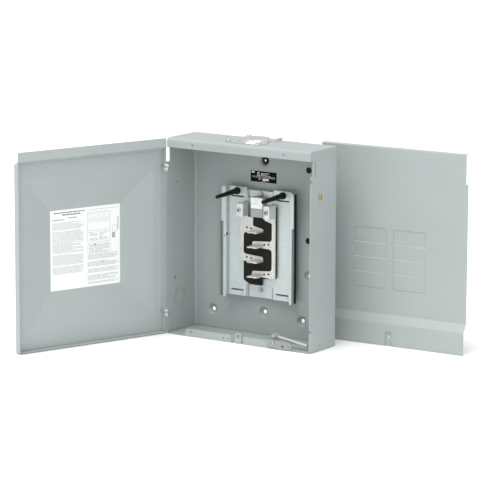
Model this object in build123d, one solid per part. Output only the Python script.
from build123d import *
import math
import os

# Residential load center: a rainproof sheet-steel box with a side-hung door,
# a bus interior for plug-on breakers and a lift-out deadfront cover.
# Millimetres. X to the right, Y to the back, Z up. The origin is the middle
# of the box's bottom face, which stands on the floor plane Z = 0.

# ---------------------------------------------------------------- enclosure
WIDTH = 288.0
DEPTH = 82.0
HEIGHT = 338.0
SHEET = 1.5
BEND = 5.0
LIP_BOTTOM = 321.5
LIP_DEPTH = 30.0
HALF_W = WIDTH / 2
INNER_W = HALF_W - SHEET

# wall mounting dimples, as (x, z) on the back wall
DIMPLES = ((-0.5, 300.5), (-0.5, 40.5), (-106.0, 33.5), (76.0, 33.5), (89.0, 112.0))
DIMPLE_DEEP = 4.5
DIMPLE_HOLE_R = 3.25
PLUG_SPOTS = ((88.5, 292.0), (88.5, 172.5))
PLUG_HOLE_R = 3.0

# rain hub opening in the top, with the plate that closes it
HUB_X = 1.5
HUB_DEPTH = 46.0
HUB_R = 27.0
HUB_SCREW_PITCH = 62.0
HUB_SCREW_R = 2.0
HUB_PLATE = 73.0
HUB_SHEET = 1.6
HUB_DRUM_TOP = HEIGHT + 5.5

# knockouts: radii of the nested blanks, and the bottom wall's row
KNOCKOUT_RADII = (11.1, 14.3, 17.5)
KNOCKOUT_SLIT = 0.35
KNOCKOUT_TIE = 2.4
KNOCKOUT_COLUMNS = (-92.0, -38.0, 38.0, 92.0)

# ---------------------------------------------------------------- interior
PAN_SHEET = 1.2
PAN_FACE = 67.0
PAN_Z0 = 67.0
PAN_Z1 = 254.5
PAD_Z1 = 250.5
RAIL_FRONT = 58.7
RAIL_BACK = 72.0
RAIL_INNER = 64.4
RAIL_OUTER = 69.3
RAIL_LIP = 72.8
RAIL_LIP_Z = 194.0
TRIM_WIDE = 8.0
PAD_FACE = 70.5
PAD_HALF = 26.0
PAN_SCREW_Z = (80.5, 245.5)
SLOT_Z = (77.0, 237.8)
STAB_Z = (183.0, 157.6, 132.2, 106.8)
BUS_FRONT = 60.0
BUS_THICK = 2.4
BUS_INNER = 28.5
BUS_OUTER = 35.0
STAB_REACH = 20.0
STAB_HALF = 11.0
LUG_X = 27.1
LUG_WIDTH = 13.2
LUG_DEEP = 16.0
LUG_Z0 = 208.0
LUG_Z1 = 230.0
LUG_WIRE_R = 4.6
LUG_SCREW_R = 3.6
BLADE_HALF = BUS_THICK / 2
POST_X = 46.0
POST_Z = 247.0
POST_TIP = 5.0
POST_DROOP = 2.5

# ---------------------------------------------------------------- door
DOOR_OPEN = 109.6
DOOR_SHEET = 1.2
DOOR_LEFT = -146.6
DOOR_RIGHT = 147.6
DOOR_TRAY = 14.0
DOOR_BACK = -2.0
DOOR_Z0 = 1.0
DOOR_Z1 = 336.5
DOOR_LEDGE = (314.0, 322.0)
EMBOSS_DEEP = 8.0
EMBOSS_BASE = (-133.0, 128.0, 23.0, 290.0)
EMBOSS_FLAT = (-66.0, 74.5, 93.5, 231.0)
LABEL_AREA = (-65.2, 73.5, 94.5, 230.0)
HINGE_X = -145.4
HINGE_DEPTH = -1.8
HINGE_PIN_R = 1.5
HINGE_RUN = 0.08
HINGE_EYE_R = 2.9
HINGE_Z = (37.0, 287.5)
HINGE_NOTCH_R = (2.4, 3.6)

# ---------------------------------------------------------------- deadfront
COVER_WIDTH = 281.0
COVER_HEIGHT = 334.0
COVER_SHEET = 1.2
COVER_TURN = 2.2
COVER_X = 217.5
COVER_DEPTH = 137.5
COVER_FOOT = 9.0
TWIST_PITCH = 25.4
TWIST_WIDE = 60.0
TWIST_COUNT = 4
TWIST_Z0 = 95.0
TWIST_COLUMNS = (-41.0, 33.0)


def at_depth(depth):
    """Y of a plane that lies this far behind the box's front edge."""
    return depth - DEPTH / 2


def slab(x0, x1, d0, d1, z0, z1):
    """Box between two X, two depths behind the front edge, and two Z."""
    middle = Pos((x0 + x1) / 2, at_depth((d0 + d1) / 2), (z0 + z1) / 2)
    return middle * Box(abs(x1 - x0), abs(d1 - d0), abs(z1 - z0))


def rod_y(x, z, r, d0, d1, r_end=None):
    """Round bar or cone along the depth, from depth d0 to depth d1."""
    turn = Pos(x, at_depth((d0 + d1) / 2), z) * Rot(-90, 0, 0)
    if r_end is None or r_end == r:
        return turn * Cylinder(r, abs(d1 - d0))
    return turn * Cone(r, r_end, abs(d1 - d0))


def rod_x(y, z, r, x0, x1):
    """Round bar along X at a row Y."""
    return Pos((x0 + x1) / 2, y, z) * Rot(0, 90, 0) * Cylinder(r, abs(x1 - x0))


def rod_z(x, y, r, z0, z1):
    """Round bar along Z at a row Y."""
    return Pos(x, y, (z0 + z1) / 2) * Cylinder(r, abs(z1 - z0))


def plate_xz(points, d0, d1, radii=(), grow=0.0):
    """Flat plate with an outline in X and Z, between two depths.

    radii gives (index of the corner, radius) for the corners to round, and
    grow widens the whole outline.
    """
    outline = Polyline(*[(x, z) for x, z in points], close=True)
    face = make_face(outline)
    for corner, radius in radii:
        x, z = points[corner]
        near = face.vertices().sort_by_distance(Vector(x, z, 0))[0]
        face = fillet(near, radius)
    if grow:
        face = offset(face, grow)
    solid = extrude(face, abs(d1 - d0))
    return Pos(0, at_depth(max(d0, d1)), 0) * Rot(90, 0, 0) * solid


def round_edges(solid, axis, spots, radius):
    """Round the edges parallel to axis that pass nearest to each spot."""
    for spot in spots:
        edges = solid.edges().filter_by(axis)
        near = edges.sort_by(lambda e: (e.center() - Vector(*spot)).length)[0]
        solid = fillet(near, radius)
    return solid


def hexagon(x, z, flats, d0, d1):
    """Hexagonal bar along the depth."""
    face = RegularPolygon(flats / math.sqrt(3), 6)
    solid = extrude(face, abs(d1 - d0))
    return Pos(x, at_depth(max(d0, d1)), z) * Rot(90, 0, 0) * solid


# ---------------------------------------------------------------- enclosure
def pressed_ring(profile, rounding):
    """Turned sheet profile of (radius, depth) points, with rounded bends."""
    face = make_face(Polyline(*profile, close=True))
    for corner, radius in rounding:
        near = face.vertices().sort_by_distance(Vector(*profile[corner], 0))[0]
        face = fillet(near, radius)
    return revolve(face, Axis.Y, 360)


def wall_dimple():
    """Round mounting dimple pressed backwards out of the back wall."""
    inner = DEPTH - SHEET
    deep = inner + DIMPLE_DEEP
    profile = (
        (DIMPLE_HOLE_R, deep), (6.6, deep), (9.2, inner), (13.0, inner),
        (13.0, DEPTH), (10.4, DEPTH), (7.8, deep + SHEET), (DIMPLE_HOLE_R, deep + SHEET),
    )
    return pressed_ring(profile, ((1, 1.2), (2, 2.2), (5, 0.8), (6, 2.4)))


def wall_boss():
    """Round boss pressed forwards out of the back wall to carry the pan."""
    inner = DEPTH - SHEET
    top = PAD_FACE + PAN_SHEET
    profile = (
        (2.2, top), (6.4, top), (8.6, inner), (12.0, inner),
        (12.0, DEPTH), (7.3, DEPTH), (5.1, top + SHEET), (2.2, top + SHEET),
    )
    return pressed_ring(profile, ((1, 2.2), (2, 1.5), (5, 2.2), (6, 1.0)))


def place_on_back(solid, x, z):
    """Move a turned feature, made about the Y axis, to a spot on the wall."""
    return Pos(x, at_depth(0), z) * solid


def knockout_blanks():
    """Nested blanks about the Z axis, centred on Z = 0, each with two ties."""
    blanks = []
    inner_r = 0.0
    for ring, outer_r in enumerate(KNOCKOUT_RADII):
        body = Cylinder(outer_r - KNOCKOUT_SLIT, SHEET)
        if inner_r > 0:
            body -= Cylinder(inner_r, 2 * SHEET)
        tie = Box(2 * outer_r, KNOCKOUT_TIE, SHEET) & Cylinder(outer_r, SHEET)
        if inner_r > 0:
            tie -= Cylinder(inner_r, 2 * SHEET)
        else:
            tie -= Cylinder(outer_r / 2, 2 * SHEET)
        blank = body + Rot(0, 0, 90 * ring) * tie
        blanks.append(blank)
        inner_r = outer_r
    return blanks


# left wall, as (depth, z): knockout, blind round marks, dents and the lowest rivet
LEFT_KNOCKOUT = (35.0, 59.5)
SIDE_MARKS = ((25.0, 259.5), (20.0, 94.5))
SIDE_DENTS = ((27.5, 162.0), (27.5, 119.0))
SIDE_RIVET = (29.5, 9.3)
EAR_SEAT = 6.5
EDGE_FORWARD = 2.4
EDGE_TOP = 297.0
EDGE_BOTTOM = 3.5


def wrapper_walls():
    """Back and side walls, bent from one sheet."""
    z0 = SHEET
    z1 = HEIGHT - SHEET
    body = slab(-HALF_W, HALF_W, 0, DEPTH, z0, z1)
    back = body.edges().filter_by(Axis.Z).group_by(Axis.Y)[-1]
    body = fillet(back, BEND)
    hollow = slab(-INNER_W, INNER_W, -5, DEPTH - SHEET, z0 - 1, z1 + 1)
    corner = hollow.edges().filter_by(Axis.Z).group_by(Axis.Y)[-1]
    hollow = fillet(corner, BEND - SHEET)
    return body - hollow


def edge_runs():
    """Heights between which the hinge side's edge runs forward, clear of both hinges."""
    below, above = 7.0, 4.0
    lower, upper = HINGE_Z
    return (
        (EDGE_BOTTOM, lower - below), (lower + above, upper - below), (upper + above, EDGE_TOP),
    )


def enclosure_walls():
    """Back and side walls with every pressed and pierced feature."""
    body = wrapper_walls()
    for side in (-1, 1):
        far = side * (HALF_W + 2)
        near = side * (INNER_W - 2)
        body -= slab(near, far, -1, LIP_DEPTH + 0.3, LIP_BOTTOM - 0.2, HEIGHT)
        body -= slab(near, far, -1, 6.0, EDGE_TOP, LIP_BOTTOM)
        for z, notch_r in zip(HINGE_Z, HINGE_NOTCH_R):
            body -= slab(near, far, -1, EAR_SEAT, z - SHEET, z)
            body -= rod_x(at_depth(0), z, notch_r, near, far)
        y = at_depth(SIDE_RIVET[0])
        body -= rod_x(y, SIDE_RIVET[1], 1.6, near, far)
    for z0, z1 in edge_runs():
        body += slab(-HALF_W, -INNER_W, -EDGE_FORWARD, 0.5, z0, z1)
    for depth, z in SIDE_MARKS:
        y = at_depth(depth)
        body += rod_x(y, z, 4.2, -INNER_W - 0.2, -INNER_W + 0.8)
        body -= rod_x(y, z, 2.4, -INNER_W + 2, -INNER_W - 0.9)
    for depth, z in SIDE_DENTS:
        ball = 28.0
        dent = Pos(-INNER_W + ball - 0.9, at_depth(depth), z) * Sphere(ball)
        body -= dent
    body -= rod_x(at_depth(28.5), SIDE_MARKS[0][1], 2.2, INNER_W - 2, HALF_W + 2)
    body -= slab(INNER_W - 2, HALF_W + 2, 12.8, 15.2, 295.0, 317.0)
    y = at_depth(LEFT_KNOCKOUT[0])
    body -= rod_x(y, LEFT_KNOCKOUT[1], KNOCKOUT_RADII[-1], -INNER_W + 2, -HALF_W - 2)
    for x, z in DIMPLES:
        body -= rod_y(x, z, 13.0, DEPTH - SHEET - 1, DEPTH + 1)
        body += place_on_back(wall_dimple(), x, z)
    for z in PAN_SCREW_Z:
        body -= rod_y(0, z, 12.0, DEPTH - SHEET - 1, DEPTH + 1)
        body += place_on_back(wall_boss(), 0, z)
    for x, z in PLUG_SPOTS:
        body -= rod_y(x, z, PLUG_HOLE_R, DEPTH - SHEET - 1, DEPTH + 1)
    return body


def wall_parts():
    """The bent wall sheet, kept as a back wall with its two bends and two sides."""
    body = enclosure_walls()
    seam = DEPTH - BEND
    left = body & slab(-HALF_W - 1, -HALF_W + BEND, -5, seam, 0, HEIGHT)
    right = body & slab(HALF_W - BEND, HALF_W + 1, -1, seam, 0, HEIGHT)
    back = body - slab(-HALF_W - 1, -HALF_W + BEND, -5, seam, 0, HEIGHT)
    back -= slab(HALF_W - BEND, HALF_W + 1, -1, seam, 0, HEIGHT)
    return back, left, right


def top_cap():
    """Top sheet with a front lip that wraps round both front corners."""
    front = -SHEET
    body = slab(-HALF_W, HALF_W, front, DEPTH, LIP_BOTTOM, HEIGHT)
    back = body.edges().filter_by(Axis.Z).group_by(Axis.Y)[-1]
    body = fillet(back, BEND)
    front_top = body.edges().filter_by(Axis.X).group_by(Axis.Z)[-1].group_by(Axis.Y)[0]
    body = fillet(front_top, 6.0)
    corners = body.edges().filter_by(Axis.Z).group_by(Axis.Y)[0]
    body = fillet(corners, 1.0)
    hollow = slab(-INNER_W, INNER_W, 0, DEPTH + 5, LIP_BOTTOM - 5, HEIGHT - SHEET)
    inside = hollow.edges().filter_by(Axis.X).group_by(Axis.Z)[-1].group_by(Axis.Y)[0]
    hollow = fillet(inside, 4.6)
    body -= hollow
    for side in (-1, 1):
        near = side * (INNER_W - 1)
        far = side * (HALF_W + 1)
        body -= slab(near, far, LIP_DEPTH, DEPTH + 1, LIP_BOTTOM - 1, HEIGHT - SHEET)
        lip_hole = side * 91.5
        body -= rod_y(lip_hole, 328.5, 1.6, front - 1, 1)
    body -= rod_z(HUB_X, at_depth(HUB_DEPTH), HUB_R, HEIGHT - 6, HEIGHT + 2)
    for x, y in hub_screw_spots():
        body -= rod_z(x, y, HUB_SCREW_R, HEIGHT - 6, HEIGHT + 2)
    return body


def hub_screw_spots():
    """Row X and Y of the four hub screws."""
    half = HUB_SCREW_PITCH / 2
    middle = at_depth(HUB_DEPTH)
    return [(HUB_X + dx, middle + dy) for dx in (-half, half) for dy in (-half, half)]


def hub_plate():
    """Pressed plate that closes the hub opening, with a low hollow drum."""
    y = at_depth(HUB_DEPTH)
    t = HUB_SHEET
    base = Pos(HUB_X, y, HEIGHT + t / 2) * Box(HUB_PLATE, HUB_PLATE, t)
    base = fillet(base.edges().filter_by(Axis.Z), 9.0)
    base = fillet(base.edges().group_by(Axis.Z)[-1], 0.6)
    for side in (-1, 1):
        base -= Pos(HUB_X + side * HUB_PLATE / 2, y, HEIGHT) * Cylinder(9.0, 4 * t)
    profile = (
        (0, HUB_DRUM_TOP - 0.8), (HUB_R - 6.0, HUB_DRUM_TOP), (HUB_R - 1.0, HUB_DRUM_TOP),
        (HUB_R + 1.0, HEIGHT + t), (HUB_R + 1.0, HEIGHT), (HUB_R - 1.0, HEIGHT),
        (HUB_R - 2.4, HUB_DRUM_TOP - t), (HUB_R - 6.0, HUB_DRUM_TOP - t), (0, HUB_DRUM_TOP - t - 0.8),
    )
    face = make_face(Polyline(*[(r, 0, z) for r, z in profile], close=True))
    drum = Pos(HUB_X, y, 0) * revolve(face, Axis.Z, 360)
    body = base - rod_z(HUB_X, y, HUB_R - 0.5, HEIGHT - 1, HEIGHT + 3) + drum
    for x, y in hub_screw_spots():
        body -= rod_z(x, y, HUB_SCREW_R, HEIGHT - 1, HEIGHT + 3)
    return body


def hub_screws():
    """Four pan-head screws that hold the closing plate."""
    found = []
    seat = HEIGHT + HUB_SHEET
    for x, y in hub_screw_spots():
        head = rod_z(x, y, 4.2, seat, seat + 3.4)
        head = fillet(head.edges().group_by(Axis.Z)[-1], 1.5)
        slot = Pos(x, y, seat + 3.4) * Rot(0, 0, 35) * Box(10.0, 1.0, 2.0)
        shank = rod_z(x, y, HUB_SCREW_R, HEIGHT - 6.0, seat)
        found.append(head - slot + shank)
    return found


LIP_TOP = 13.5
LIP_NEAR = 12.0
LIP_FAR = 107.0
HASP_X = 1.5
HASP_HALF = 6.5
HASP_TOP = 18.8
HASP_HOLE_R = 3.4
HASP_HOLE_Z = 12.5
BRACKET_SCREW = (71.5, 9.5)
BRACKET_HOLE = (91.5, 6.5)


def front_lip(side):
    """One half of the lip along the bottom's front edge."""
    near = side * LIP_NEAR
    far = side * LIP_FAR
    step = side * 4.5
    points = ((near, 0), (near, LIP_TOP), (far - step, LIP_TOP), (far, LIP_TOP - 4), (far, 0))
    return plate_xz(points, 0, SHEET, ((1, 3.5), (2, 2.0), (3, 2.0)))


def bottom_endwall():
    """Bottom sheet with the front lip halves and the hasp tab."""
    body = slab(-HALF_W, HALF_W, 0, DEPTH, 0, SHEET)
    back = body.edges().filter_by(Axis.Z).group_by(Axis.Y)[-1]
    body = fillet(back, BEND)
    for side in (-1, 1):
        body += front_lip(side)
    left = HASP_X - HASP_HALF
    right = HASP_X + HASP_HALF
    hasp = ((left, 0), (left, HASP_TOP), (right, HASP_TOP), (right, 0))
    body += plate_xz(hasp, 0, SHEET, ((1, 6.0), (2, 6.0)))
    body -= rod_y(HASP_X, HASP_HOLE_Z, HASP_HOLE_R, -2, 4)
    for x, z, r in ((-95.0, 8.5, 2.1), (-28.0, 6.0, 1.3), (-17.5, 6.0, 1.3), (*BRACKET_HOLE, 2.7)):
        body -= rod_y(x, z, r, -2, 4)
    body -= rod_y(BRACKET_SCREW[0], BRACKET_SCREW[1], 2.1, -2, 4)
    for x in KNOCKOUT_COLUMNS:
        body -= rod_z(x, at_depth(43), KNOCKOUT_RADII[-1], -1, SHEET + 1)
    return body


def bottom_knockouts():
    """Blanks of the four knockouts in the bottom sheet."""
    found = []
    for x in KNOCKOUT_COLUMNS:
        for blank in knockout_blanks():
            found.append(Pos(x, at_depth(43), SHEET / 2) * blank)
    return found


def left_knockouts():
    """Blanks of the knockout low in the left wall."""
    depth, z = LEFT_KNOCKOUT
    place = Pos(-HALF_W + SHEET / 2, at_depth(depth), z) * Rot(0, 90, 0)
    return [place * blank for blank in knockout_blanks()]


def rating_label():
    """Thin label on the back wall above the interior."""
    label = slab(-28.0, 24.0, DEPTH - SHEET - 0.3, DEPTH - SHEET, 263.5, 281.8)
    return fillet(label.edges().filter_by(Axis.Y), 1.0)


def mounting_washer():
    """Rubber sealing washer in the upper mounting dimple."""
    x, z = DIMPLES[0]
    floor = DEPTH - SHEET + DIMPLE_DEEP
    ring = rod_y(x, z, 6.2, floor - 2.4, floor)
    ring = fillet(ring.edges().group_by(Axis.Y)[0], 1.0)
    return ring - rod_y(x, z, 1.9, floor - 4, floor + 1)


def hole_plugs():
    """Two snap-in plugs that close spare holes in the back wall."""
    found = []
    inner = DEPTH - SHEET
    for x, z in PLUG_SPOTS:
        head = rod_y(x, z, 5.0, inner - 2.2, inner)
        head = fillet(head.edges().group_by(Axis.Y)[0], 1.6)
        stem = rod_y(x, z, PLUG_HOLE_R, inner, DEPTH)
        barb = rod_y(x, z, PLUG_HOLE_R + 0.5, DEPTH, DEPTH + 2.2, PLUG_HOLE_R - 1.0)
        found.append(head + stem + barb)
    return found


def bonding_screw():
    """Yellow-zinc screw through the right wall, head outside."""
    y = at_depth(28.5)
    z = SIDE_MARKS[0][1]
    head = rod_x(y, z, 4.4, HALF_W, HALF_W + 2.6)
    head = fillet(head.edges().group_by(Axis.X)[-1], 1.2)
    shank = rod_x(y, z, 2.2, HALF_W - 11, HALF_W)
    slot = Pos(HALF_W + 2.6, y, z) * Box(2.0, 1.0, 10.0)
    return head + shank - slot


# ---------------------------------------------------------------- interior
def pan_side(side):
    """Raised rail along one side of the pan, which the breakers hook on to."""
    def band(x0, x1, d0, d1, z0, z1):
        return slab(side * x0, side * x1, d0, d1, z0, z1)
    t = PAN_SHEET
    z0 = PAN_Z0 - 3
    z1 = PAN_Z1
    body = band(RAIL_INNER, RAIL_INNER + t, RAIL_FRONT, PAN_FACE + t, z0, z1)
    body += band(RAIL_INNER, RAIL_OUTER, RAIL_FRONT, RAIL_FRONT + t, z0, z1)
    body += band(RAIL_OUTER - t, RAIL_OUTER, RAIL_FRONT, RAIL_BACK, z0, z1)
    body += band(RAIL_OUTER - t, RAIL_LIP, RAIL_FRONT, RAIL_FRONT + t, RAIL_LIP_Z, z1)
    corner = (side * RAIL_LIP, at_depth(RAIL_FRONT), z1)
    body = round_edges(body, Axis.Y, [corner], 6.0)
    fold = (side * RAIL_INNER, at_depth(RAIL_FRONT), (z0 + z1) / 2)
    body = round_edges(body, Axis.Z, [fold], 1.0)
    return body


def centre_pad(z0, z1, open_end):
    """Pad set back behind the pan's face, with joggle walls on its sides."""
    t = PAN_SHEET
    body = slab(-PAD_HALF, PAD_HALF, PAD_FACE, PAD_FACE + t, z0, z1)
    for side in (-1, 1):
        edge = side * PAD_HALF
        body += slab(edge - side * t, edge, PAN_FACE, PAD_FACE + t, z0, z1)
    wall = z0 if open_end == "top" else z1 - t
    body += slab(-PAD_HALF, PAD_HALF, PAN_FACE, PAD_FACE + t, wall, wall + t)
    return body


def interior_pan():
    """Galvanised pan that carries the bus and the breakers' outer ends."""
    t = PAN_SHEET
    body = slab(-RAIL_INNER - t, RAIL_INNER + t, PAN_FACE, PAN_FACE + t, PAN_Z0, PAN_Z1)
    lower = (PAN_Z0 - 1, 92.0)
    upper = (236.0, PAN_Z1 + 1)
    for z0, z1 in (lower, upper):
        opening = slab(-PAD_HALF, PAD_HALF, PAN_FACE - 1, PAN_FACE + t + 1, z0, z1)
        body -= opening
    body += centre_pad(PAN_Z0, 92.0, "bottom")
    body += centre_pad(236.0, PAD_Z1, "top")
    for side in (-1, 1):
        body += pan_side(side)
        edge = side * PAD_HALF
        for z0, z1 in ((PAN_Z0 - 1, 88.0), (242.0, PAD_Z1 + 5)):
            body -= slab(edge, edge + side * 1.0, PAN_FACE - 1, PAN_FACE + t + 0.2, z0, z1)
        for z in SLOT_Z:
            body -= slab(side * 33, side * 58, PAN_FACE - 2, PAN_FACE + 3, z - 1.3, z + 1.3)
        tongue = slab(side * 35, side * 57, PAN_FACE - 0.8, PAN_FACE, PAN_Z0 + 0.7, SLOT_Z[0] - 1.8)
        body += fillet(tongue.edges().filter_by(Axis.Y), 0.7)
        body -= rod_y(side * POST_X, POST_Z, 2.6, PAN_FACE - 2, PAN_FACE + 4)
    for z in PAN_SCREW_Z:
        body -= rod_y(0, z, 2.2, PAD_FACE - 2, PAD_FACE + 4)
    for x, z in PEG_SPOTS:
        body -= rod_y(x, z, 1.9, PAN_FACE - 2, PAN_FACE + 4)
    middle = (RAIL_INNER + RAIL_OUTER) / 2
    body -= rod_y(-middle, 169.0, 1.3, RAIL_FRONT - 1, RAIL_FRONT + 2)
    body -= rod_x(at_depth(RAIL_FRONT + 4.4), 171.5, 2.9, -RAIL_INNER + 1, -RAIL_INNER - 2)
    return body


PEG_SPOTS = ((-20.0, 104.0), (31.0, 204.0))


def pan_trim_left():
    """Grey strip outside the left rail, below the rail's lip."""
    x1 = -RAIL_OUTER
    x0 = x1 - TRIM_WIDE
    front = RAIL_FRONT + PAN_SHEET
    strip = slab(x0, x1, front, front + 3.0, PAN_Z0 - 2, RAIL_LIP_Z)
    groove = slab(x0 + 3.0, x0 + 4.2, front - 1, front + 0.8, PAN_Z0 - 3, RAIL_LIP_Z + 1)
    return round_edges(strip, Axis.Z, [(x0, at_depth(front), PAN_Z0)], 1.0) - groove


def pan_trim_right():
    """Black strip along the back of the right rail's outer wall."""
    x0 = RAIL_OUTER
    return slab(x0, x0 + 1.3, RAIL_BACK - 5.0, RAIL_BACK - 1.0, PAN_Z0 - 2, PAN_Z1 - 3)


def pan_screws():
    """Two hex washer-head screws that hold the pan to the wall's bosses."""
    found = []
    for z in PAN_SCREW_Z:
        washer = rod_y(0, z, 4.5, PAD_FACE - 0.9, PAD_FACE)
        head = hexagon(0, z, 6.4, PAD_FACE - 4.2, PAD_FACE - 0.9)
        slot = slab(-5, 5, PAD_FACE - 4.3, PAD_FACE - 3.0, z - 0.6, z + 0.6)
        shank = rod_y(0, z, 2.2, PAD_FACE, PAD_FACE + 6.5)
        found.append(washer + head - slot + shank)
    return found


def bus_outline(side):
    """Outline of one bus bar in X and Z: a strip with two inner fingers."""
    rows = STAB_Z[0::2] if side < 0 else STAB_Z[1::2]
    inner = side * BUS_INNER
    outer = side * BUS_OUTER
    tip = side * -STAB_HALF
    foot = rows[-1] - 2.5
    points = [(outer, LUG_Z1), (outer, foot), (inner - side * 3, foot)]
    radii = [(1, 2.5)]
    for row in reversed(rows):
        if row != rows[-1]:
            points.append((inner, row - 4.0))
            radii.append((len(points) - 1, 5.5))
        points.append((tip, row - BLADE_HALF))
        points.append((tip, row + 7.4))
        radii.append((len(points) - 1, 3.6))
        if side > 0 or row != rows[0]:
            points.append((inner, row + 10.0))
            radii.append((len(points) - 1, 5.5))
    if side < 0:
        points[-1] = (tip, rows[0] + 4.2)
        radii[-1] = (len(points) - 1, 2.0)
        points.append((-9.5, rows[0] + 8.4))
        points.append((-9.5, LUG_Z0 - 2.0))
    else:
        points.append((inner, 198.5))
        points.append((14.5, 202.4))
        radii.append((len(points) - 1, 2.0))
        points.append((12.5, LUG_Z0 - 2.0))
    neck = side * (LUG_X - LUG_WIDTH / 2)
    points.append((neck, LUG_Z0 - 2.0))
    points.append((neck, LUG_Z1))
    return points, radii


def stab_blade(row):
    """Blade bent forwards off a finger, with a rounded lobe for each side."""
    front = BUS_FRONT - STAB_REACH
    z0 = row - BLADE_HALF
    blade = slab(-STAB_HALF, STAB_HALF, front, BUS_FRONT + BUS_THICK, z0, z0 + BUS_THICK)
    corners = blade.edges().filter_by(Axis.Z).group_by(Axis.Y)[0]
    blade = fillet(corners, 4.5)
    notch = rod_z(0, at_depth(front - 1.0), 3.4, z0 - 1, z0 + BUS_THICK + 1)
    blade -= notch
    lead = blade.faces().filter_by(Axis.Z)
    edges = [e for f in lead for e in f.edges() if e.center().Y < at_depth(front + 5)]
    return chamfer(edges, 0.7)


def bus_bar(side):
    """One live bus bar with its two stabs, which serve both breaker columns."""
    points, radii = bus_outline(side)
    body = plate_xz(points, BUS_FRONT, BUS_FRONT + BUS_THICK, radii)
    rows = STAB_Z[0::2] if side < 0 else STAB_Z[1::2]
    for row in rows:
        body += stab_blade(row)
    for row in rows:
        for spot, rise in PEG_ON_FINGER:
            body -= rod_y(side * spot, row + rise, PEG_R + 0.05, BUS_FRONT - 2, BUS_FRONT + 5)
    body -= rod_y(side * LUG_X, (LUG_Z0 + LUG_Z1) / 2, 2.1, BUS_FRONT - 2, BUS_FRONT + 5)
    return body


PEG_ON_FINGER = ((22.0, 4.7), (13.4, 3.6))
PEG_R = 1.8


EARS_TOP = 226.0


def insulator_base():
    """Moulded insulator that holds both bus bars off the pan."""
    back = PAN_FACE
    seat = BUS_FRONT + BUS_THICK
    outline = (
        (-33.5, 134.0), (-33.5, EARS_TOP), (-25.0, EARS_TOP), (-25.0, 206.0), (22.0, 206.0),
        (22.0, EARS_TOP), (34.3, EARS_TOP), (34.3, 104.8), (19.5, 104.8), (6.0, 102.5),
        (6.0, 90.0), (-15.0, 90.0), (-29.0, 96.5), (-29.0, 134.0),
    )
    body = plate_xz(outline, seat, back, ((1, 3), (6, 3), (11, 4), (12, 6)))
    web = (
        (-28.4, 96.8), (-28.4, 206.0), (28.4, 206.0), (28.4, 105.0), (19.0, 103.0),
        (5.6, 101.6), (5.6, 90.4), (-15.0, 90.4),
    )
    ridge = plate_xz(web, BUS_FRONT + 0.5, seat, ((0, 6), (3, 4), (7, 4)))
    for side in (-1, 1):
        points, radii = bus_outline(side)
        ridge -= plate_xz(points, BUS_FRONT - 1, seat + 1, radii, grow=0.6)
    body += ridge
    for side in (-1, 1):
        rows = STAB_Z[0::2] if side < 0 else STAB_Z[1::2]
        for row in rows:
            for spot, rise in PEG_ON_FINGER:
                body += rod_y(side * spot, row + rise, PEG_R, BUS_FRONT + 0.2, seat + 1)
    for x, z in PEG_SPOTS:
        body += rod_y(x, z, 1.9, seat + 1, back + PAN_SHEET)
    return body


def lug_block(side):
    """Screw lug for one incoming line wire."""
    x0 = side * (LUG_X - LUG_WIDTH / 2)
    x1 = side * (LUG_X + LUG_WIDTH / 2)
    front = BUS_FRONT - LUG_DEEP
    body = slab(x0, x1, front, BUS_FRONT, LUG_Z0, LUG_Z1)
    verticals = body.edges().filter_by(Axis.Z).group_by(Axis.Y)[0]
    body = fillet(verticals, 2.6)
    x = side * LUG_X
    wire = rod_z(x, at_depth(BUS_FRONT - 6.2), LUG_WIRE_R, LUG_Z0 - 1, LUG_Z1 + 1)
    body -= wire
    middle = (LUG_Z0 + LUG_Z1) / 2
    body -= rod_y(x, middle, LUG_SCREW_R + 0.08, front - 1, BUS_FRONT - 6.2)
    body -= rod_y(x, middle, LUG_SCREW_R + 1.0, front - 1, front + 0.8, LUG_SCREW_R)
    return body


def lug_screw(side):
    """Slotted set screw of a line lug, backed out clear of the wire hole."""
    x = side * LUG_X
    middle = (LUG_Z0 + LUG_Z1) / 2
    front = BUS_FRONT - LUG_DEEP
    body = rod_y(x, middle, LUG_SCREW_R, front - 2.2, front + 5.9)
    body = chamfer(body.edges().group_by(Axis.Y)[0], 0.5)
    socket = hexagon(x, middle, 4.0, front - 3.0, front + 1.2)
    return body - socket


BARRIER_FRONT = 56.6
BARRIER_HALF = 12.2
BARRIER_TOP = 241.0


def lug_barrier():
    """Moulded block between the two line lugs, which stands on the pan."""
    back = PAN_FACE
    body = slab(-BARRIER_HALF, BARRIER_HALF, BARRIER_FRONT, back, LUG_Z0 - 1, BARRIER_TOP)
    body = fillet(body.edges().filter_by(Axis.Z).group_by(Axis.Y)[0], 1.2)
    body = fillet(body.edges().filter_by(Axis.X).group_by(Axis.Y)[0], 0.8)
    groove = slab(-14, 14, BARRIER_FRONT - 1, BARRIER_FRONT + 0.8, 220.8, 221.6)
    return body - groove


def lug_label():
    """White label on the upper part of the barrier."""
    half = BARRIER_HALF - 0.6
    return slab(-half, half, BARRIER_FRONT - 0.25, BARRIER_FRONT, 222.0, BARRIER_TOP - 0.9)


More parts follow.
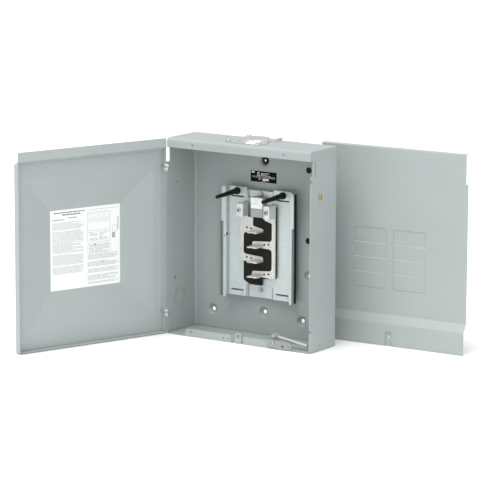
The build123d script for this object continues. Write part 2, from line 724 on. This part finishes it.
def deadfront_post(side):
    """Tapered moulded post that the deadfront cover rests against."""
    x = side * POST_X
    base = rod_y(x, POST_Z, 6.0, PAN_FACE - 2.4, PAN_FACE)
    root = PAN_FACE - 6.0
    collar = rod_y(x, POST_Z, 5.1, root, PAN_FACE - 2.4)
    shaft = rod_y(x, POST_Z, 3.0, POST_TIP, root + 1.0, 4.8)
    shaft = fillet(shaft.edges().group_by(Axis.Y)[0], 0.9)
    droop = math.degrees(math.atan(POST_DROOP / (root - POST_TIP)))
    joint = Pos(x, at_depth(root), POST_Z)
    shaft = joint * Rot(droop, 0, 0) * joint.inverse() * shaft
    peg = rod_y(x, POST_Z, 2.6, PAN_FACE, PAN_FACE + PAN_SHEET + 2.0)
    barb = rod_y(x, POST_Z, 3.3, PAN_FACE + PAN_SHEET, PAN_FACE + PAN_SHEET + 2.0, 2.2)
    return base + collar + shaft + peg + barb


# ---------------------------------------------------------------- latch
LATCH_PIVOT = (65.6, 19.0)
LATCH_EAR = 10.0
LATCH_RIVET_R = 1.9
LATCH_SLOPE = 8.4
LATCH_LENGTH = 66.0
LATCH_ROD_R = 3.0
SHELF_Z = 14.8


def latch_bracket():
    """Galvanised bracket on the lip, with a raised ear for the latch bar."""
    t = PAN_SHEET
    outline = (
        (62.0, 1.8), (62.0, SHELF_Z), (80.0, SHELF_Z), (98.0, SHELF_Z), (104.5, 6.0), (104.5, 1.8),
    )
    face = plate_xz(outline, -t, 0, ((0, 1.5), (3, 5.0), (4, 3.0), (5, 1.0)))
    shelf = slab(62.0, 74.0, -t, LATCH_EAR + t, SHELF_Z, SHELF_Z + t)
    shelf = fillet(shelf.edges().filter_by(Axis.Z).group_by(Axis.Y)[-1], 1.5)
    ear = plate_xz(
        ((61.5, SHELF_Z), (61.5, 24.0), (70.0, 24.0), (74.0, SHELF_Z)),
        LATCH_EAR, LATCH_EAR + t, ((1, 4.0), (2, 3.5)),
    )
    body = face + shelf + ear
    body -= rod_y(LATCH_PIVOT[0], LATCH_PIVOT[1], LATCH_RIVET_R, LATCH_EAR - 2, LATCH_EAR + 4)
    body -= rod_y(BRACKET_SCREW[0], BRACKET_SCREW[1], 2.1, -3, 2)
    body -= rod_y(*BRACKET_HOLE, 2.7, -3, 2)
    return body


def latch_screw():
    """Pan-head screw that fixes the latch bracket to the lip."""
    x, z = BRACKET_SCREW
    t = PAN_SHEET
    head = rod_y(x, z, 4.0, -t - 2.4, -t)
    head = fillet(head.edges().group_by(Axis.Y)[0], 1.3)
    shank = rod_y(x, z, 2.1, -t, 6.0)
    cross = slab(x - 2.2, x + 2.2, -t - 3, -t - 1.2, z - 0.5, z + 0.5)
    cross += slab(x - 0.5, x + 0.5, -t - 3, -t - 1.2, z - 2.2, z + 2.2)
    return head + shank - cross


def latch_rivet():
    """Shoulder rivet that the latch bar turns on."""
    x, z = LATCH_PIVOT
    front = LATCH_EAR
    back = LATCH_EAR + PAN_SHEET + 2 * LATCH_ROD_R + 0.3
    head = rod_y(x, z, 3.0, front - 1.0, front)
    head = fillet(head.edges().group_by(Axis.Y)[0], 0.5)
    shank = rod_y(x, z, LATCH_RIVET_R, front, back)
    tail = rod_y(x, z, 3.0, back, back + 1.0)
    return head + shank + tail


def latch_bar():
    """Round bar with a flattened eye, which swings towards the door's free edge."""
    front = LATCH_EAR + PAN_SHEET + 0.1
    r = LATCH_ROD_R
    middle = front + r
    x, z = LATCH_PIVOT
    bar = rod_x(at_depth(middle), 0, r, 5.0, LATCH_LENGTH)
    bar = fillet(bar.edges().group_by(Axis.X)[-1], 1.2)
    eye = rod_y(0, 0, 4.4, front, front + 2 * r)
    eye += slab(0, 9.0, front + 0.4, front + 2 * r - 0.4, -3.2, 3.2)
    bar += eye
    bar -= rod_y(0, 0, LATCH_RIVET_R + 0.06, front - 1, front + 2 * r + 1)
    return Pos(x, 0, z) * Rot(0, LATCH_SLOPE, 0) * bar


# ---------------------------------------------------------------- hinges
def hinge_ear(z):
    """Ear set in a slot of the left wall's edge, with an eye for the pin."""
    y = at_depth(HINGE_DEPTH)
    bottom = z - SHEET
    left = HINGE_X - HINGE_EYE_R
    inside = -INNER_W + SHEET
    body = rod_z(HINGE_X, y, HINGE_EYE_R, bottom, z)
    body += slab(left, inside, HINGE_DEPTH, 1.5, bottom, z)
    body += slab(-HALF_W, inside, 0, EAR_SEAT, bottom, z)
    return body - rod_z(HINGE_X, y, HINGE_PIN_R + HINGE_RUN, z - 4, z + 4)


def hinge_pin(z):
    """Headed pin fixed in the door's tab, turning in the box's ear."""
    y = at_depth(HINGE_DEPTH)
    shank = rod_z(HINGE_X, y, HINGE_PIN_R, z - 6.5, z + 0.25 + DOOR_SHEET)
    shank = chamfer(shank.edges().group_by(Axis.Z)[0], 0.5)
    top = z + 0.25 + DOOR_SHEET
    head = rod_z(HINGE_X, y, 2.5, top, top + 1.2)
    head = fillet(head.edges().group_by(Axis.Z)[-1], 0.5)
    return shank + head


# ---------------------------------------------------------------- door
def frustum(x0, x1, z0, z1, x2, x3, z2, z3, d0, d1):
    """Four-sided frustum between a wide outline and a narrow one."""
    wide = Pos((x0 + x1) / 2, at_depth(d0), (z0 + z1) / 2) * Rot(90, 0, 0)
    narrow = Pos((x2 + x3) / 2, at_depth(d1), (z2 + z3) / 2) * Rot(90, 0, 0)
    wide_face = wide * Rectangle(x1 - x0, z1 - z0)
    narrow_face = narrow * Rectangle(x3 - x2, z3 - z2)
    return loft([wide_face, narrow_face], ruled=True)


def tray_profile(front, back, z0, ledge_low, ledge_high):
    """Side outline of the door's tray: flat below, sloping back at its top."""
    points = (back, z0), (front, z0), (front, ledge_low), (back, ledge_high)
    return make_face(Polyline(*[(0, at_depth(d), z) for d, z in points], close=True))


def closed_door_panel():
    """Door sheet in its closed place: a tray with a sloping ledge and a strip on top."""
    t = DOOR_SHEET
    front = DOOR_BACK - DOOR_TRAY
    low, high = DOOR_LEDGE
    rise = (high - low) / DOOR_TRAY
    wide = DOOR_RIGHT - DOOR_LEFT
    face = tray_profile(front, DOOR_BACK, DOOR_Z0, low, high)
    outer = Pos(DOOR_LEFT, 0, 0) * extrude(face, wide, dir=(1, 0, 0))
    outer = fillet(outer.edges().filter_by(Axis.Z).group_by(Axis.Y)[0], 2.6)
    bottom_front = outer.edges().filter_by(Axis.X).group_by(Axis.Z)[0].group_by(Axis.Y)[0]
    outer = fillet(bottom_front, 2.4)
    drop = t * math.sqrt(1 + rise * rise)
    face = tray_profile(front + t, DOOR_BACK + 1, DOOR_Z0 + t,
                        low + rise * t - drop, high + rise - drop)
    hollow = Pos(DOOR_LEFT + t, 0, 0) * extrude(face, wide - 2 * t, dir=(1, 0, 0))
    hollow = fillet(hollow.edges().filter_by(Axis.Z).group_by(Axis.Y)[0], 1.4)
    body = outer - hollow
    strip = slab(DOOR_LEFT, DOOR_RIGHT, DOOR_BACK - t, DOOR_BACK, high - t, DOOR_Z1)
    strip_top = [e for e in strip.edges().filter_by(Axis.Y) if e.center().Z > DOOR_Z1 - 1]
    body += fillet(strip_top, 2.0)
    body += frustum(*EMBOSS_BASE, *EMBOSS_FLAT, front + t / 2, front - EMBOSS_DEEP)
    body -= frustum(*EMBOSS_BASE, *EMBOSS_FLAT, front + t + t / 2, front - EMBOSS_DEEP + t)
    return body


def door_tab(z):
    """Flat tab on the door's hinge edge, above the box's ear."""
    t = DOOR_SHEET
    bottom = z + 0.25
    y = at_depth(HINGE_DEPTH)
    arm = slab(DOOR_LEFT + 0.2, HINGE_X + HINGE_EYE_R, DOOR_BACK - 11.0, HINGE_DEPTH, bottom, bottom + t)
    eye = rod_z(HINGE_X, y, HINGE_EYE_R, bottom, bottom + t)
    return arm + eye - rod_z(HINGE_X, y, HINGE_PIN_R, bottom - 1, bottom + t + 1)


def open_door(solid):
    """Turn a closed-door piece about the hinge line to the resting angle."""
    y = at_depth(HINGE_DEPTH)
    swing = Pos(HINGE_X, y, 0) * Rot(0, 0, -DOOR_OPEN) * Pos(-HINGE_X, -y, 0)
    return swing * solid


def door_panel():
    """Door sheet with its two hinge tabs, swung open."""
    body = closed_door_panel()
    for z in HINGE_Z:
        body -= slab(DOOR_LEFT - 1, DOOR_LEFT + 3, DOOR_BACK - 5.4, 2, z - 7, z + 4)
        body += door_tab(z)
    return open_door(body)


def door_label():
    """Instruction label on the inside of the door's raised middle."""
    inside = DOOR_BACK - DOOR_TRAY - EMBOSS_DEEP + DOOR_SHEET
    x0, x1, z0, z1 = LABEL_AREA
    return open_door(slab(x0, x1, inside, inside + 0.25, z0, z1))


# ---------------------------------------------------------------- deadfront
def place_cover(solid):
    """Move a piece of the cover, made about its own middle, to its place."""
    return Pos(COVER_X, at_depth(COVER_DEPTH), 0) * Rot(0, 0, COVER_TURN) * solid


def cover_plate(x0, x1, y0, y1, z0, z1):
    """Box in the cover's own frame."""
    return Pos((x0 + x1) / 2, (y0 + y1) / 2, (z0 + z1) / 2) * Box(x1 - x0, y1 - y0, z1 - z0)


def twist_opening(column, row, inset):
    """One breaker opening of the cover, less an inset all round."""
    x0 = column - TWIST_WIDE / 2 + inset
    x1 = column + TWIST_WIDE / 2 - inset
    z0 = TWIST_Z0 + row * TWIST_PITCH + inset
    z1 = TWIST_Z0 + (row + 1) * TWIST_PITCH - inset
    return x0, x1, z0, z1


def deadfront_panel():
    """Cover sheet: main face, a foot stepped forwards and a top flange."""
    t = COVER_SHEET
    half = COVER_WIDTH / 2
    profile = (
        (0, 52.0), (0, COVER_HEIGHT), (9.0, COVER_HEIGHT), (9.0, COVER_HEIGHT - t),
        (t, COVER_HEIGHT - t), (t, 52.4), (t - COVER_FOOT, 38.4), (t - COVER_FOOT, 0),
        (-COVER_FOOT, 0), (-COVER_FOOT, 38.0),
    )
    face = make_face(Polyline(*profile, close=True))
    for corner, radius in ((0, 4.0), (1, 2.2), (4, 1.0), (5, 5.2), (6, 4.0), (9, 5.2)):
        near = face.vertices().sort_by_distance(Vector(*profile[corner], 0))[0]
        face = fillet(near, radius)
    sheet = extrude(Plane.YZ * face, COVER_WIDTH, dir=(1, 0, 0))
    body = Pos(-half, 0, 0) * sheet
    for side in (-1, 1):
        edge = cover_plate(0, 5, -1, 12, 285.0, COVER_HEIGHT + 1)
        body -= Pos(side * half - (4 if side > 0 else 1), 0, 0) * edge
    for column in TWIST_COLUMNS:
        x0, x1, z0, _ = twist_opening(column, 0, 0)
        z1 = TWIST_Z0 + TWIST_COUNT * TWIST_PITCH
        body -= cover_plate(x0, x1, -2, 4, z0, z1)
    body -= cover_plate(-7.2, 7.2, -COVER_FOOT - 1, -COVER_FOOT + t + 1, -1, 25.2)
    body += cover_plate(-7.2, 7.2, -COVER_FOOT + 1.6, -COVER_FOOT + 1.6 + t, 0, 25.2)
    body += cover_plate(-7.2, -6.0, -COVER_FOOT, -COVER_FOOT + 1.6 + t, 0, 25.2)
    body += cover_plate(6.0, 7.2, -COVER_FOOT, -COVER_FOOT + 1.6 + t, 0, 25.2)
    body += cover_plate(-7.2, 7.2, -COVER_FOOT, -COVER_FOOT + 1.6 + t, 24.0, 25.2)
    hole = Pos(0, -COVER_FOOT, 15.0) * Rot(90, 0, 0) * Cylinder(2.6, 12)
    body -= hole
    return place_cover(body)


def twist_outs(column):
    """Breakaway blanks of one breaker column, each tied at its two ends."""
    t = COVER_SHEET
    found = []
    for row in range(TWIST_COUNT):
        x0, x1, z0, z1 = twist_opening(column, row, 0.2)
        blank = cover_plate(x0, x1, 0.3, 0.3 + t - 0.3, z0, z1)
        blank = fillet(blank.edges().filter_by(Axis.Y), 1.2)
        middle = (z0 + z1) / 2
        blank += cover_plate(x0 - 0.2, x1 + 0.2, 0.3, t, middle - 1.5, middle + 1.5)
        found.append(place_cover(blank))
    return found


# ---------------------------------------------------------------- output
def group(solids):
    """Several separate solids of one sort, kept in one node."""
    return Compound(children=[Compound(s.solids()) if len(s.solids()) > 1 else s for s in solids])


def build():
    """Every node of the object, by name."""
    lower, upper = HINGE_Z
    left, right = TWIST_COLUMNS
    back, left_side, right_side = wall_parts()
    return {
        "back_wall": back,
        "side_wall_left": left_side,
        "side_wall_right": right_side,
        "top_cap": top_cap(),
        "hub_plate": hub_plate(),
        "hub_screws": group(hub_screws()),
        "bottom_endwall": bottom_endwall(),
        "knockouts_bottom": group(bottom_knockouts()),
        "knockouts_left": group(left_knockouts()),
        "rating_label": rating_label(),
        "mounting_washer": mounting_washer(),
        "hole_plugs": group(hole_plugs()),
        "bonding_screw": bonding_screw(),
        "interior_pan": interior_pan(),
        "pan_screws": group(pan_screws()),
        "pan_trim_left": pan_trim_left(),
        "pan_trim_right": pan_trim_right(),
        "insulator_base": insulator_base(),
        "bus_bar_left": bus_bar(-1),
        "bus_bar_right": bus_bar(1),
        "line_lug_left": lug_block(-1),
        "line_lug_right": lug_block(1),
        "lug_screw_left": lug_screw(-1),
        "lug_screw_right": lug_screw(1),
        "lug_barrier": lug_barrier(),
        "lug_label": lug_label(),
        "deadfront_post_left": deadfront_post(-1),
        "deadfront_post_right": deadfront_post(1),
        "latch_bracket": latch_bracket(),
        "latch_screw": latch_screw(),
        "latch_rivet": latch_rivet(),
        "latch_bar": latch_bar(),
        "hinge_ear_lower": hinge_ear(lower),
        "hinge_ear_upper": hinge_ear(upper),
        "hinge_pin_lower": open_door(hinge_pin(lower)),
        "hinge_pin_upper": open_door(hinge_pin(upper)),
        "door_panel": door_panel(),
        "door_label": door_label(),
        "deadfront_panel": deadfront_panel(),
        "twist_outs_left": group(twist_outs(left)),
        "twist_outs_right": group(twist_outs(right)),
    }


def main():
    """Write one STEP file for each node."""
    os.makedirs("parts", exist_ok=True)
    for name, shape in build().items():
        export_step(shape, f"parts/{name}.step")
        solids = shape.solids()
        volume = sum(s.volume for s in solids)
        print(f"{name}: {len(solids)} solids, {volume:.0f} mm3, valid {shape.is_valid}")


main()
